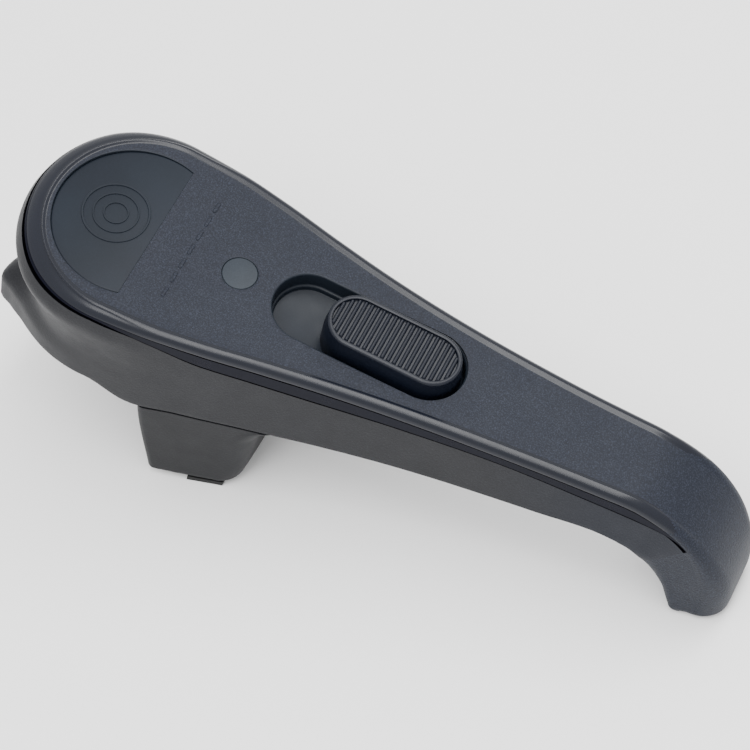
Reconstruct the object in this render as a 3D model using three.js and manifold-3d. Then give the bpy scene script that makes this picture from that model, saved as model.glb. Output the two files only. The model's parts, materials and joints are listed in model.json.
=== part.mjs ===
// Lid handle of a pressure cooker: a moulded shell with a thumb slide that draws a lock bolt.
// Millimetres. The model is laid out in the deck frame: deck plane z = 0, mirror plane y = 0,
// x from the head to the hook. The last group turns it so that foot and hook stand on z = 0.
import * as THREE from 'three';
import Module from 'manifold-3d';
import { mergeVertices } from 'three/addons/utils/BufferGeometryUtils.js';

const wasm = await Module();
wasm.setup();

// ---------------------------------------------------------------- driving dimensions
const HEAD = { x: 3, radius: 28.2, bulge: 7.2, waist: 2.8 };
const DECK = { end: 160, halfEnd: 10.6, thick: 3.2, rise: 0.00041, riseFrom: 54 };
const WALL = 2.8;
const EDGE = { out: 2.8, drop: 2.2 };
const BAND = { depth: 8.2, step: 1.1, start: -3, full: 36 };
const FLARE = 1.6;
const HOOK = { end: 194.5, half: 14.6, corner: 8, round: 2.4, standX: 181, standDrop: 39.8 };
const GAP = 0.3;
const STAND_TILT = 14;
const { lerp, clamp, smoothstep, degToRad, radToDeg } = THREE.MathUtils;
const tilt = degToRad(STAND_TILT);
// the surface that the handle stands on, as a height in the deck frame
const standZ = (x) => -HOOK.standDrop - Math.tan(tilt) * (HOOK.standX - x);
const HOOK_DROP = -standZ(HOOK.end);
const BELOW = 15 - standZ(0);
const SLOT = { from: 44.2, to: 101.9, half: 10.65, floor: 7, wall: 2.4 };
const PAD = { from: 59.8, length: 41.1, half: 9.1, top: 5.2, ribs: 18, border: 2.6, ribDepth: 0.9 };
const TRAVEL = 14.5;
const BADGE = { radius: HEAD.radius - 4.8, chord: 6.7, depth: 1.7, play: 0.25, sunk: 0.85 };
const PLUG = { x: 32.9, radius: 5.08, depth: 2.2, play: 0.2 };
const FOOT = {
  front: 19, rear: 59.5, rearLow: 51, apron: 3, lift: 2.2, coreTop: 18.6, upright: 2.6, knee: 42,
};
const REST = { from: 37.5, to: 48, inner: 19.5, thick: 1.9, stud: 1.8 };

// half widths of the deck's edge along the handle, each as [x, half width]; between its two ends
// the width is given as a share of the way from the tail's half width to the head's radius
const WIDTH_SHARES = [
  [18, 0.96], [34, 0.83], [52, 0.631], [72, 0.432], [92, 0.278], [112, 0.165], [135, 0.068],
];
const DECK_HALF = [
  [HEAD.x, HEAD.radius],
  ...WIDTH_SHARES.map(([x, share]) => [x, lerp(DECK.halfEnd, HEAD.radius, share)]),
  [DECK.end, DECK.halfEnd],
];
// depth of the shell's lower edge under the deck plane, each as [x, depth]
const LOWER_EDGE = [
  [-25, 45], [-12, 39.5], [HEAD.x, 38], [16, 42], [30, 38.5], [60, 34], [100, 26.8],
  [135, 21], [154, 17.2], [163.5, 19.4], [171.5, 29.4], [177, 37.8], [HOOK.standX, HOOK.standDrop],
  [187, -standZ(187)], [HOOK.end, HOOK_DROP],
];
// how far the head's rim stands out past the deck's edge, each as [angle from the front, distance]
const RIM_OUT = [[0, 3.6], [10, 5.0], [20, 9.0], [25, 10.6], [32, 8.0], [44, 5.4], [60, 4.4], [90, 3.0]];

// ---------------------------------------------------------------- small maths

// value of a smooth curve through the knots [[x, value], ...] without overshoot
function through(knots, x) {
  const last = knots.length - 1;
  if (x <= knots[0][0]) return knots[0][1];
  if (x >= knots[last][0]) return knots[last][1];
  const i = knots.findIndex((k) => k[0] > x) - 1;
  const slope = (n) => (knots[n + 1][1] - knots[n][1]) / (knots[n + 1][0] - knots[n][0]);
  const tangent = (n) => {
    if (n === 0) return slope(0);
    if (n === last) return slope(last - 1);
    const [a, b] = [slope(n - 1), slope(n)];
    return a * b <= 0 ? 0 : (2 * a * b) / (a + b);
  };
  const h = knots[i + 1][0] - knots[i][0];
  const t = (x - knots[i][0]) / h;
  const [p, q] = [knots[i][1], knots[i + 1][1]];
  const [m, n] = [tangent(i) * h, tangent(i + 1) * h];
  return p + t * (m + t * (3 * (q - p) - 2 * m - n + t * (2 * (p - q) + m + n)));
}
const deckHalf = (x) => through(DECK_HALF, x);
const deckZ = (x) => DECK.rise * Math.max(0, x - DECK.riseFrom) ** 2;
const lowerEdge = (x) => -through(LOWER_EDGE, x);
const bandDepth = (x) => lerp(EDGE.drop + 0.1, BAND.depth, smoothstep(x, BAND.start, BAND.full));
const bandStep = (x) => BAND.step * smoothstep(x, BAND.start, 12) * (1 - smoothstep(x, 158, 172));

// ---------------------------------------------------------------- solids
function solid(geometry) {
  const bare = geometry.index ? geometry.toNonIndexed() : geometry.clone();
  bare.deleteAttribute('normal');
  bare.deleteAttribute('uv');
  const merged = mergeVertices(bare, 1e-4);
  return new wasm.Manifold(new wasm.Mesh({
    numProp: 3,
    vertProperties: new Float32Array(merged.attributes.position.array),
    triVerts: new Uint32Array(merged.index.array),
  }));
}
function geometryOf(body) {
  const mesh = body.getMesh();
  const geometry = new THREE.BufferGeometry();
  geometry.setAttribute('position', new THREE.BufferAttribute(mesh.vertProperties, mesh.numProp));
  geometry.setIndex(new THREE.BufferAttribute(mesh.triVerts, 1));
  const flat = geometry.toNonIndexed();
  flat.computeVertexNormals();
  return flat;
}
const union = (...bodies) => bodies.reduce((a, b) => a.add(b));
const moved = (geometry, x, y, z) => geometry.translate(x, y, z);

function box(x0, x1, y0, y1, z0, z1) {
  const geometry = new THREE.BoxGeometry(x1 - x0, y1 - y0, z1 - z0);
  return solid(moved(geometry, (x0 + x1) / 2, (y0 + y1) / 2, (z0 + z1) / 2));
}
// a round bar along z between z0 and z1
function bar(x, y, radius, z0, z1, sides = 20) {
  const geometry = new THREE.CylinderGeometry(radius, radius, z1 - z0, sides).rotateX(Math.PI / 2);
  return solid(moved(geometry, x, y, (z0 + z1) / 2));
}
// a plate in the xy plane from a shape, between z0 and z1
function plate(shape, z0, z1, curveSegments = 10) {
  const geometry = new THREE.ExtrudeGeometry(shape, { depth: z1 - z0, bevelEnabled: false, curveSegments });
  return solid(moved(geometry, 0, 0, z0));
}
// a slab from a side view outline [[x, z], ...], between y0 and y1
function slab(outline, y0, y1) {
  const shape = new THREE.Shape(outline.map(([x, z]) => new THREE.Vector2(x, z)));
  const geometry = new THREE.ExtrudeGeometry(shape, { depth: y1 - y0, bevelEnabled: false });
  return solid(moved(geometry.rotateX(Math.PI / 2), 0, y1, 0));
}
// an outline with straight sides and round ends along x
function obround(from, to, half) {
  const shape = new THREE.Shape();
  shape.moveTo(from + half, -half);
  shape.lineTo(to - half, -half);
  shape.absarc(to - half, 0, half, -Math.PI / 2, Math.PI / 2, false);
  shape.lineTo(from + half, half);
  shape.absarc(from + half, 0, half, Math.PI / 2, 1.5 * Math.PI, false);
  return shape;
}
// closed body from stacked loops of points, each loop mirrored about y = 0, the first on top
function loft(loops) {
  const count = loops[0].length;
  const position = [];
  const index = [];
  loops.forEach((loop) => loop.forEach((p) => position.push(p.x, p.y, p.z)));
  const quad = (a, b, c, d) => index.push(a, b, c, a, c, d);
  for (let j = 0; j + 1 < loops.length; j += 1) {
    for (let i = 0; i < count; i += 1) {
      const n = (i + 1) % count;
      quad(j * count + i, (j + 1) * count + i, (j + 1) * count + n, j * count + n);
    }
  }
  const cap = (base, up) => {
    for (let i = 0; i < count / 2; i += 1) {
      const [a, b] = [base + i, base + i + 1];
      const [c, d] = [base + ((count - i) % count), base + count - i - 1];
      const corners = up ? [a, b, d, c] : [a, c, d, b];
      if (a === c) index.push(corners[0], up ? b : d, up ? d : b);
      else if (b === d) index.push(a, ...(up ? [b, c] : [c, b]));
      else quad(...corners);
    }
  };
  cap(0, true);
  cap((loops.length - 1) * count, false);
  const geometry = new THREE.BufferGeometry();
  geometry.setAttribute('position', new THREE.Float32BufferAttribute(position, 3));
  geometry.setIndex(index);
  return solid(geometry);
}

// ---------------------------------------------------------------- the handle's outer form
const HEAD_STEPS = 14;
const SIDE_STEPS = 14;
const TAIL_FROM = 140;
const TAIL_STEPS = 9;
const CORNER_STEPS = 5;
const LEVELS = 15;

// tail outline at height z: how far the hook reaches at that height
function tailEnd(z) {
  const top = deckZ(DECK.end);
  const s = clamp((top - z) / (top + HOOK_DROP - HOOK.round), 0, 1);
  return DECK.end + (HOOK.end - DECK.end) * (1 - (1 - s) ** 2) ** 0.5;
}
// wall of the head seen at the very front: distance past the deck's edge at depth d
const FRONT_WALL = [
  [0, 0], [0.6, 2.0], [2.2, 4.4], [5, 6.0], [9, HEAD.bulge], [15, 5.2], [20, 3.6], [25, HEAD.waist],
];
// one station of the outer form at level j: a point (x, y, z) on the +y side
function level(j) {
  const roll = Math.min(j / 4, 1) * Math.PI / 2;
  const share = [0, 0, 0, 0, 0, 0, 0, 0.12, 0.3, 0.48, 0.62, 0.76, 0.9, 0.965, 1][j];
  const insetAtEnd = [0, 0, 0, 0, 0, 0, 0, 0, 0, 0, 0, 0, 0, 0.1, 0.9][j];
  return { j, roll, share, insetAtEnd };
}
function sideHeight({ j, roll, share }, x, low) {
  const top = deckZ(x);
  const band = top - bandDepth(x);
  if (j <= 4) return top - EDGE.drop * (1 - Math.cos(roll));
  if (j === 5) return band;
  if (j === 6) return band - 0.4;
  return lerp(band - 0.4, low, share);
}
function sideOut({ j, roll, share, insetAtEnd }, x) {
  if (j <= 5) return EDGE.out * Math.sin(roll);
  return EDGE.out - bandStep(x) + FLARE * share - insetAtEnd;
}
function headPoint(lv, angle) {
  const deg = radToDeg(angle);
  const x0 = HEAD.x - HEAD.radius * Math.cos(angle);
  const low = lowerEdge(x0);
  const frontness = 1 - smoothstep(deg, 45, 100);
  const side = { out: sideOut(lv, HEAD.x), z: sideHeight(lv, HEAD.x, low) };
  const z = lv.j <= 6 ? side.z : lerp(side.z, lerp(-BAND.depth * 0.35, low, lv.share), frontness);
  const rim = through(RIM_OUT, deg);
  const depth = -z;
  const flare = smoothstep(depth, 25, 33);
  const wall = through(FRONT_WALL, Math.min(depth, 25)) - lv.insetAtEnd;
  const front = lerp(wall, rim - lv.insetAtEnd, flare);
  const sideShape = lerp(side.out, rim - lv.insetAtEnd, flare * 0.5);
  const out = lerp(sideShape, front, lerp(0.35, 1, frontness) * (lv.j > 1 ? 1 : 0.8));
  const r = HEAD.radius + (lv.j === 0 ? 0 : out);
  return new THREE.Vector3(HEAD.x - r * Math.cos(angle), r * Math.sin(angle), z);
}
function sidePoint(lv, x) {
  const z = sideHeight(lv, x, lowerEdge(x));
  const blend = 1 - smoothstep(x, HEAD.x, 26);
  const join = headPoint(lv, Math.PI / 2);
  const out = lerp(sideOut(lv, x), join.y - HEAD.radius, blend);
  return new THREE.Vector3(x, deckHalf(x) + out, z);
}
function tailShape(lv) {
  const top = deckZ(DECK.end);
  const z = lv.j <= 6
    ? top - [0, 1.1, 3.4, 7, 11.5, 15, 16.5][lv.j]
    : lerp(top - 16.5, -HOOK_DROP, lv.share);
  const spread = HOOK.half - DECK.halfEnd - EDGE.out;
  const side = lv.j <= 4 ? EDGE.out * Math.sin(lv.roll) : EDGE.out + spread * lv.share;
  const inset = lv.insetAtEnd * HOOK.round;
  return { z, end: tailEnd(z) - inset, half: DECK.halfEnd + side - inset * 0.5, corner: HOOK.corner };
}
function tailPoint(lv, u) {
  const tail = tailShape(lv);
  const start = sidePoint(lv, TAIL_FROM);
  const x = lerp(TAIL_FROM, tail.end - tail.corner, u);
  const w = smoothstep(u, 0, 1);
  const low = lowerEdge(x);
  const upperLevel = level(Math.min(lv.j, 6));
  const upper = lerp(sideHeight(upperLevel, Math.min(x, DECK.end + 6), low), tailShape(upperLevel).z, w);
  const z = lv.j <= 6 ? upper : lerp(upper, low, lv.share);
  return new THREE.Vector3(x, lerp(start.y, tail.half, w), z);
}
function cornerPoint(lv, angle) {
  const { z, end, half, corner } = tailShape(lv);
  const x = end - corner + corner * Math.sin(angle);
  const height = lv.j <= 6 ? z : lerp(deckZ(DECK.end) - 16.5, lowerEdge(x), lv.share);
  return new THREE.Vector3(x, half - corner + corner * Math.cos(angle), height);
}
function halfLoop(lv) {
  const points = [];
  const quarter = Math.PI / 2;
  for (let i = 0; i <= HEAD_STEPS; i += 1) points.push(headPoint(lv, (i / HEAD_STEPS) * quarter));
  for (let i = 1; i <= SIDE_STEPS; i += 1) {
    points.push(sidePoint(lv, lerp(HEAD.x, TAIL_FROM, i / SIDE_STEPS)));
  }
  for (let i = 1; i <= TAIL_STEPS; i += 1) points.push(tailPoint(lv, i / TAIL_STEPS));
  for (let i = 1; i <= CORNER_STEPS; i += 1) points.push(cornerPoint(lv, (i / CORNER_STEPS) * quarter));
  const last = points[points.length - 1];
  points.push(new THREE.Vector3(last.x, 0, last.z));
  return points;
}
function wholeLoop(half) {
  const mirrored = half.slice(1, -1).reverse().map((p) => new THREE.Vector3(p.x, -p.y, p.z));
  return [...half.map((p, i) => (i === 0 ? new THREE.Vector3(p.x, 0, p.z) : p)), ...mirrored];
}
function outerForm() {
  const loops = [];
  for (let j = 0; j < LEVELS; j += 1) loops.push(wholeLoop(halfLoop(level(j))).reverse());
  return loft(loops);
}

// ---------------------------------------------------------------- shell
// the hollow inside the shell, open at the bottom from the head to the hook
const CAVITY_END = 160;
function cavityLoop({ z, sideInset, frontOut }, drop) {
  const points = [];
  const top = (x) => (drop ? z : deckZ(x) + z);
  for (let i = 0; i <= HEAD_STEPS; i += 1) {
    const angle = (i / HEAD_STEPS) * Math.PI / 2;
    const r = HEAD.radius + lerp(frontOut, -sideInset, smoothstep(i / HEAD_STEPS, 0.4, 1));
    points.push(new THREE.Vector3(HEAD.x - r * Math.cos(angle), r * Math.sin(angle), z));
  }
  for (let i = 1; i <= SIDE_STEPS; i += 1) {
    const x = lerp(HEAD.x, CAVITY_END, i / SIDE_STEPS);
    points.push(new THREE.Vector3(x, deckHalf(x) - sideInset, top(x)));
  }
  points.push(new THREE.Vector3(CAVITY_END, 0, top(CAVITY_END)));
  return wholeLoop(points).reverse();
}
const wallInset = WALL - EDGE.out + BAND.step;
const CAVITY = [
  { z: -DECK.thick, sideInset: wallInset + 0.5, frontOut: 0.4 },
  { z: -DECK.thick - 6, sideInset: wallInset, frontOut: HEAD.bulge - WALL },
  { z: -24, sideInset: wallInset, frontOut: HEAD.waist - WALL },
  { z: -60, sideInset: wallInset, frontOut: HEAD.waist - WALL },
];
const cavity = () => loft(CAVITY.map((c, i) => cavityLoop(c, i > 1)));

const FLOOR = { top: -SLOT.floor, low: -SLOT.floor - SLOT.wall };
const SHANK = { length: 9, half: 4, play: 0.5 };
const shankFrom = PAD.from + PAD.length - 16 - SHANK.length;
const PLATE = { from: 34.5, to: 111.5, half: 9, thick: 1.5 };
const CARRIAGE = { from: PAD.from - 4, to: PAD.from + PAD.length - 4, half: 7, thick: 3.4 };
const carriageTop = FLOOR.low - GAP - 0.9;
const carriageLow = carriageTop - CARRIAGE.thick;
const plateTop = carriageLow - GAP;
const plateLow = plateTop - PLATE.thick;
const BOSS = { radius: 2.8, inset: 3.2, y: 5.6 };
const bossSpots = [PLATE.from + BOSS.inset, PLATE.to - BOSS.inset]
  .flatMap((x) => [-BOSS.y, BOSS.y].map((y) => [x, y]));
const SCREW = { radius: 1.4, head: 2.4, headHeight: 1.5, play: 0.15 };

function handleShell() {
  const pocket = plate(obround(SLOT.from, SLOT.to, SLOT.half), FLOOR.top, 10);
  const tubOutline = obround(SLOT.from - SLOT.wall, SLOT.to + SLOT.wall, SLOT.half + SLOT.wall);
  const tub = plate(tubOutline, FLOOR.low, -1);
  const shankSlot = box(shankFrom - TRAVEL - SHANK.play, shankFrom + SHANK.length + SHANK.play,
    -SHANK.half - 0.3, SHANK.half + 0.3, FLOOR.low - 1, FLOOR.top + 1);
  const bosses = bossSpots.map(([x, y]) => bar(x, y, BOSS.radius, plateTop + GAP, -1));
  const holes = bossSpots.map(([x, y]) => bar(x, y, SCREW.radius, plateTop - 1, -DECK.thick - 1, 12));
  const hull = outerForm();
  const hollow = hull.subtract(cavity());
  const inside = union(tub, ...bosses, lidBoss(), ...coverBosses(), ...footBosses()).intersect(hull);
  const badgeSeat = plate(badgeShape(0), -BADGE.depth, 4, 32);
  const plugSeat = bar(PLUG.x, 0, PLUG.radius, -PLUG.depth, 3, 28);
  const cuts = union(pocket, shankSlot, badgeSeat, plugSeat,
    ...holes, ...lidBossHole(), ...coverHoles(), ...footBossHoles());
  return hollow.add(inside).subtract(cuts);
}

// ---------------------------------------------------------------- badge and plug in the deck
// the head's round outline cut off by a chord, drawn in by a play
function badgeShape(play) {
  const shape = new THREE.Shape();
  const [radius, chord] = [BADGE.radius - play, BADGE.chord - play];
  const half = Math.acos(chord / radius);
  shape.absarc(0, 0, radius, half, 2 * Math.PI - half, false);
  shape.closePath();
  return shape;
}
// its face lies deeper at the head and comes up to the deck at the chord; a plain ring stands on it
const badgeFace = (x) => lerp(-BADGE.sunk, -0.1, (x + BADGE.radius) / (BADGE.radius + BADGE.chord));
function badgeInlay() {
  const [low, r] = [-BADGE.depth + GAP, BADGE.radius + 1];
  const wedge = slab([[-r, low], [r, low], [r, badgeFace(r)], [-r, badgeFace(-r)]], -r, r);
  const body = plate(badgeShape(BADGE.play), low, 1, 32).intersect(wedge);
  const raised = slab([[-r, low], [r, low], [r, badgeFace(r) + 0.35], [-r, badgeFace(-r) + 0.35]], -r, r);
  const ring = bar(-6, 0, 9.6, low, 1, 36).subtract(bar(-6, 0, 8.7, low - 1, 2, 36));
  return body.add(ring.intersect(raised));
}
const roundPlug = () => bar(PLUG.x, 0, PLUG.radius - PLUG.play, -PLUG.depth + GAP, -0.15, 28);

// ---------------------------------------------------------------- fastening to the lid
// a boss under the head takes a threaded insert; the lid's screw comes up into it
// the screw's head lies under the lid's sheet, which it clamps against the washer
const LID = {
  x: -7, radius: 8, low: -30, insert: 4.2, insertHigh: 10, thread: 3, washer: 11, washerThick: 2, sheet: 2.2,
};
const washerLow = LID.low - GAP - LID.washerThick;
const lidBoss = () => bar(LID.x, 0, LID.radius, LID.low, -1, 28);
const lidBossHole = () => [bar(LID.x, 0, LID.insert + 0.2, LID.low - 1, LID.low + LID.insertHigh + 0.4, 20)];
const threadedInsert = () => bar(LID.x, 0, LID.insert, LID.low, LID.low + LID.insertHigh, 20)
  .subtract(bar(LID.x, 0, LID.thread, LID.low - 1, LID.low + LID.insertHigh + 1, 20));
const lidWasher = () => bar(LID.x, 0, LID.washer, washerLow, LID.low - GAP, 32)
  .subtract(bar(LID.x, 0, LID.thread + 0.2, washerLow - 1, LID.low, 20));
function lidScrew() {
  const low = washerLow - LID.sheet;
  const shaft = bar(LID.x, 0, LID.thread - 0.15, low - 1, LID.low + LID.insertHigh - 1, 20);
  const head = bar(LID.x, 0, 5, low - 3.2, low, 24);
  return union(shaft, head).subtract(box(LID.x - 4, LID.x + 4, -0.6, 0.6, low - 4, low - 2));
}

// ---------------------------------------------------------------- underside cover of the grip
const COVER = { from: 63, to: 154, thick: 2.2, recess: 0.9, steps: 12, screws: [120, 147], bossRadius: 3.2 };
const cavityHalf = (x) => deckHalf(x) - wallInset;
const coverLow = (x) => lowerEdge(x) + COVER.recess;
function gripCover() {
  const loop = (dz) => {
    const half = [];
    for (let i = 0; i <= COVER.steps; i += 1) {
      const x = lerp(COVER.from, COVER.to, i / COVER.steps);
      if (i === 0) half.push(new THREE.Vector3(x, 0, coverLow(x) + dz));
      half.push(new THREE.Vector3(x, cavityHalf(x) - GAP, coverLow(x) + dz));
      if (i === COVER.steps) half.push(new THREE.Vector3(x, 0, coverLow(x) + dz));
    }
    return wholeLoop(half).reverse();
  };
  const heads = COVER.screws.map((x) => bar(x, 0, SCREW.head + SCREW.play, -60, coverLow(x) + 1.0, 20));
  const shafts = COVER.screws.map((x) => bar(x, 0, SCREW.radius + SCREW.play, -60, 0, 16));
  return loft([loop(COVER.thick), loop(0)]).subtract(union(...heads, ...shafts));
}
const coverBosses = () => COVER.screws
  .map((x) => bar(x, 0, COVER.bossRadius, coverLow(x) + COVER.thick + 0.9, deckZ(x) - 1));
const coverHoles = () => COVER.screws
  .map((x) => bar(x, 0, SCREW.radius, coverLow(x) + 1, coverLow(x) + 12, 12));
// a pan-head screw, head down, its head's upper face at z
function screwUp(x, y, z, length) {
  const shaft = bar(x, y, SCREW.radius - 0.12, z - 0.5, z + length, 12);
  const head = bar(x, y, SCREW.head, z - SCREW.headHeight, z, 16);
  const slot = box(x - 1.8, x + 1.8, y - 0.35, y + 0.35, z - 3, z - SCREW.headHeight + 0.8);
  return union(shaft, head).subtract(slot);
}

// ---------------------------------------------------------------- thumb slide and its drive
function thumbSlide() {
  const { from, length, half, top, ribs, border, ribDepth } = PAD;
  const body = plate(obround(from, from + length, half), FLOOR.top + GAP, top - 0.6);
  const crown = plate(obround(from + 0.5, from + length - 0.5, half - 0.5), top - 1, top);
  const fieldHalf = half - border * 0.55;
  const field = plate(obround(from + border, from + length - border, fieldHalf), top - ribDepth, top + 1);
  const pitch = (length - 2 * border - 1) / ribs;
  const bars = Array.from({ length: ribs }, (_, i) => {
    const x = from + border + 0.5 + pitch * (i + 0.5);
    return box(x - pitch * 0.27, x + pitch * 0.27, -half, half, top - ribDepth - 0.4, top);
  });
  const fieldEnds = [from + border - 0.3, from + length - border + 0.3];
  const inField = plate(obround(...fieldEnds, fieldHalf + 0.3), -1, top);
  const shankTo = shankFrom + SHANK.length;
  const shank = box(shankFrom, shankTo, -SHANK.half, SHANK.half, carriageTop + GAP, FLOOR.top + 1);
  const holes = slideScrewSpots.map(([x, y]) => bar(x, y, 1.2, carriageTop - 1, carriageTop + 6, 12));
  const ribbed = union(body, crown).subtract(field).add(union(...bars).intersect(inField));
  return ribbed.add(shank).subtract(union(...holes));
}
const slideScrewSpots = [-2.2, 2.2].map((y) => [shankFrom + SHANK.length / 2, y]);
const BLADE = { thick: 1.6, half: 4.5, x: CARRIAGE.from + 2, flange: 13, low: -58, nose: 9, noseHigh: 6 };
function slideCarriage() {
  const { from, to, half } = CARRIAGE;
  const body = plate(obround(from, to, half), carriageLow, carriageTop);
  const seat = box(BLADE.x - 3, BLADE.x + BLADE.flange + GAP, -BLADE.half - GAP, BLADE.half + GAP,
    carriageLow - 1, carriageLow + BLADE.thick + GAP);
  const screws = slideScrewSpots.flatMap(([x, y]) => [
    bar(x, y, 1.35, carriageLow - 1, carriageTop + 1, 12),
    bar(x, y, 2.05, carriageLow - 1, carriageLow + 1.8, 16),
  ]);
  const rivets = rivetSpots.map(([x, y]) => bar(x, y, 1.15, carriageLow, carriageTop + 1, 12));
  return body.subtract(union(seat, ...screws, ...rivets));
}
function slideScrew([x, y]) {
  const z = carriageLow + 1.8;
  const shaft = bar(x, y, 1.1, z - 0.4, carriageTop + 5, 12);
  const head = bar(x, y, 1.85, z - 1.5, z - 0.05, 16);
  return union(shaft, head).subtract(box(x - 1.4, x + 1.4, y - 0.3, y + 0.3, z - 3, z - 0.9));
}
const rivetSpots = [-2.6, 2.6].map((y) => [BLADE.x + 8.5, y]);
function lockBolt() {
  const { thick, half, x, flange, low, nose, noseHigh } = BLADE;
  const top = carriageLow + thick;
  const arm = box(x, x + flange, -half, half, carriageLow, top);
  const leg = box(x, x + thick, -half, half, low, top - 0.1);
  const tip = slab([
    [x - nose, low - noseHigh], [x + thick, low - noseHigh], [x + thick, low + 1], [x - 2, low + 1],
  ], -half, half);
  const rivets = rivetSpots.map(([rx, ry]) => bar(rx, ry, 1.15, carriageLow - 1, top + 1, 12));
  return union(arm, leg, tip).subtract(union(...rivets));
}
const boltRivet = ([x, y]) => union(
  bar(x, y, 1, carriageLow + 0.2, carriageTop - 0.2, 12),
  bar(x, y, 1.1, carriageLow + 0.05, carriageLow + 0.5, 12),
);
function guidePlate() {
  const body = plate(obround(PLATE.from, PLATE.to, PLATE.half), plateLow, plateTop);
  const plateSpan = [plateLow - 1, plateTop + 1];
  const slotHalf = BLADE.half + 0.8;
  const [slotFrom, slotTo] = [BLADE.x - TRAVEL - 1.2, BLADE.x + BLADE.thick + 1];
  const bladeSlot = box(slotFrom, slotTo, -slotHalf, slotHalf, ...plateSpan);
  const holes = bossSpots.map(([x, y]) => bar(x, y, SCREW.radius + SCREW.play, ...plateSpan, 12));
  const postHole = bar(POST.x, 0, POST.radius + 0.1, ...plateSpan, 16);
  return body.subtract(union(bladeSlot, postHole, ...holes));
}
const guideScrew = ([x, y]) => screwUp(x, y, plateLow - 0.05, PLATE.thick + 6);
// return spring between the carriage's tail and a post on the guide plate
const POST = { x: PLATE.to - 3, radius: 1 };
const SPRING = { turns: 7, radius: 1.5, wire: 0.25, z: (carriageTop + carriageLow) / 2 };
const springFrom = CARRIAGE.to + 0.4;
const springTo = POST.x - POST.radius - GAP;
const springPost = () => bar(POST.x, 0, POST.radius, plateLow + 0.1, carriageTop + 0.4, 16);
function returnSpring() {
  class Coil extends THREE.Curve {
    getPoint(t) {
      const a = t * SPRING.turns * 2 * Math.PI;
      const x = lerp(springFrom + SPRING.wire, springTo - SPRING.wire, t);
      return new THREE.Vector3(x, SPRING.radius * Math.cos(a), SPRING.z + SPRING.radius * Math.sin(a));
    }
  }
  const section = new THREE.Shape().absarc(0, 0, SPRING.wire, 0, 2 * Math.PI, false);
  const options = { steps: SPRING.turns * 10, curveSegments: 3, extrudePath: new Coil() };
  return solid(new THREE.ExtrudeGeometry(section, options));
}

// ---------------------------------------------------------------- foot
// the way that the bolt's nose sweeps as it is drawn, with room for the pot's catch
const BOLT_WAY = { from: BLADE.x - BLADE.nose - TRAVEL - 1, to: BLADE.x + 6.2, half: BLADE.half + 2.1 };
const footSpots = [-13.6, 13.6].map((y) => [29, y]);
const footBosses = () => footSpots.map(([x, y]) => bar(x, y, 3.4, -FOOT.coreTop + GAP, -1));
const footBossHoles = () => footSpots
  .map(([x, y]) => bar(x, y, SCREW.radius, -FOOT.coreTop - 1, -DECK.thick - 2, 12));
// the handle's plan outline continued downwards, drawn in by an inset
function footForm(inset) {
  const steps = 10;
  const loop = (z) => {
    const half = [];
    for (let i = 0; i <= steps; i += 1) {
      const x = lerp(FOOT.front - 4, FOOT.rear + 14, i / steps);
      if (i === 0) half.push(new THREE.Vector3(x, 0, z));
      half.push(new THREE.Vector3(x, deckHalf(x) + EDGE.out - BAND.step + FLARE - inset, z));
      if (i === steps) half.push(new THREE.Vector3(x, 0, z));
    }
    return wholeLoop(half).reverse();
  };
  return loft([loop(-5), loop(-BELOW - 10)]);
}
// everything above the shell's lower edge, which the foot's side walls meet with a gap
function aboveEdge() {
  const stations = Array.from({ length: 9 }, (_, i) => lerp(HEAD.x, TAIL_FROM, i / SIDE_STEPS));
  const edge = stations.map((x) => [x, lowerEdge(x) - GAP]);
  return slab([...edge, [stations[8], 5], [HEAD.x, 5]], -45, 45);
}
const floorAt = (x) => standZ(x) + FOOT.lift;
// the foot's front is upright down to its knee and leans back from there to its sole; each as x
const soleX = (front) => front + Math.tan(tilt) * (-FOOT.knee - floorAt(FOOT.front) - 2) - FOOT.upright;
// side view of the foot, its front and bottom square to the stand plane
function footSide(front, rearTop, rearLow) {
  const low = soleX(front);
  return [[front - 2, -10], [front, -FOOT.knee], [low, floorAt(low)], [rearLow, floorAt(rearLow)],
    [rearLow + 2, floorAt(rearLow) + 5], [rearTop, -36], [rearTop, -10]];
}
function footApron() {
  const full = slab(footSide(FOOT.front, FOOT.rear, 49.4), -40, 40).intersect(footForm(0));
  const kneeX = FOOT.front + FOOT.apron;
  const slope = (soleX(kneeX) - kneeX) / (-FOOT.knee - floorAt(soleX(kneeX)));
  const innerLow = kneeX + slope * (BELOW - FOOT.knee);
  const inner = slab([
    [FOOT.front + 1, 0], [kneeX, -FOOT.knee], [innerLow, -BELOW],
    [FOOT.rear + 20, -BELOW], [FOOT.rear + 20, 0],
  ], -40, 40).intersect(footForm(FOOT.apron));
  const arch = new THREE.Shape();
  const heel = floorAt(FOOT.rearLow);
  arch.moveTo(FOOT.rear + 0.5, -30);
  arch.quadraticCurveTo(51.4, -38.5, 50.4, -50);
  arch.lineTo(49.3, heel + 4);
  arch.quadraticCurveTo(49.2, heel - 1, 45.5, heel - 6);
  arch.lineTo(FOOT.rear + 30, heel - 20);
  arch.lineTo(FOOT.rear + 30, -30);
  const cut = new THREE.ExtrudeGeometry(arch, { depth: 100, bevelEnabled: false, curveSegments: 8 });
  const rearCut = solid(moved(cut.rotateX(Math.PI / 2), 0, 50, 0));
  return full.subtract(union(inner, rearCut, aboveEdge()));
}
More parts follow.
